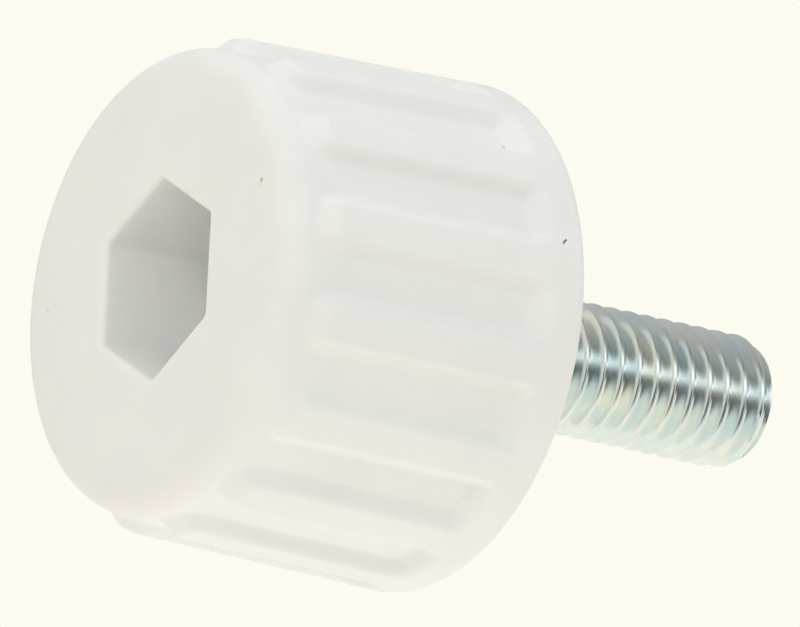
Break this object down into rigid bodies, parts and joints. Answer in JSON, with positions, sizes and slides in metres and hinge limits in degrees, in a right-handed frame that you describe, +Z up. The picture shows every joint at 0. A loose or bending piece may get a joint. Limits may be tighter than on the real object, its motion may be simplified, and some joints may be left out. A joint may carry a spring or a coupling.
{
  "type": "adjustable cabinet leg",
  "caption": "Screw-in levelling foot: a ribbed white plastic foot with a hexagonal key socket underneath, moulded on to a zinc-plated threaded stud.",
  "frame": {"origin": "centre of the foot's flat underside", "axes": "+Z up along the threaded stud, with two flats of the key socket square to X"},
  "size_m": [0.0298, 0.0298, 0.0412],
  "materials": {
    "white_plastic": "satin, as moulded",
    "zinc_plated_steel": "bright zinc plate"
  },
  "bodies": {
    "root": {"foot_body": "white_plastic", "threaded_stud": "zinc_plated_steel"}
  },
  "joints": []
}
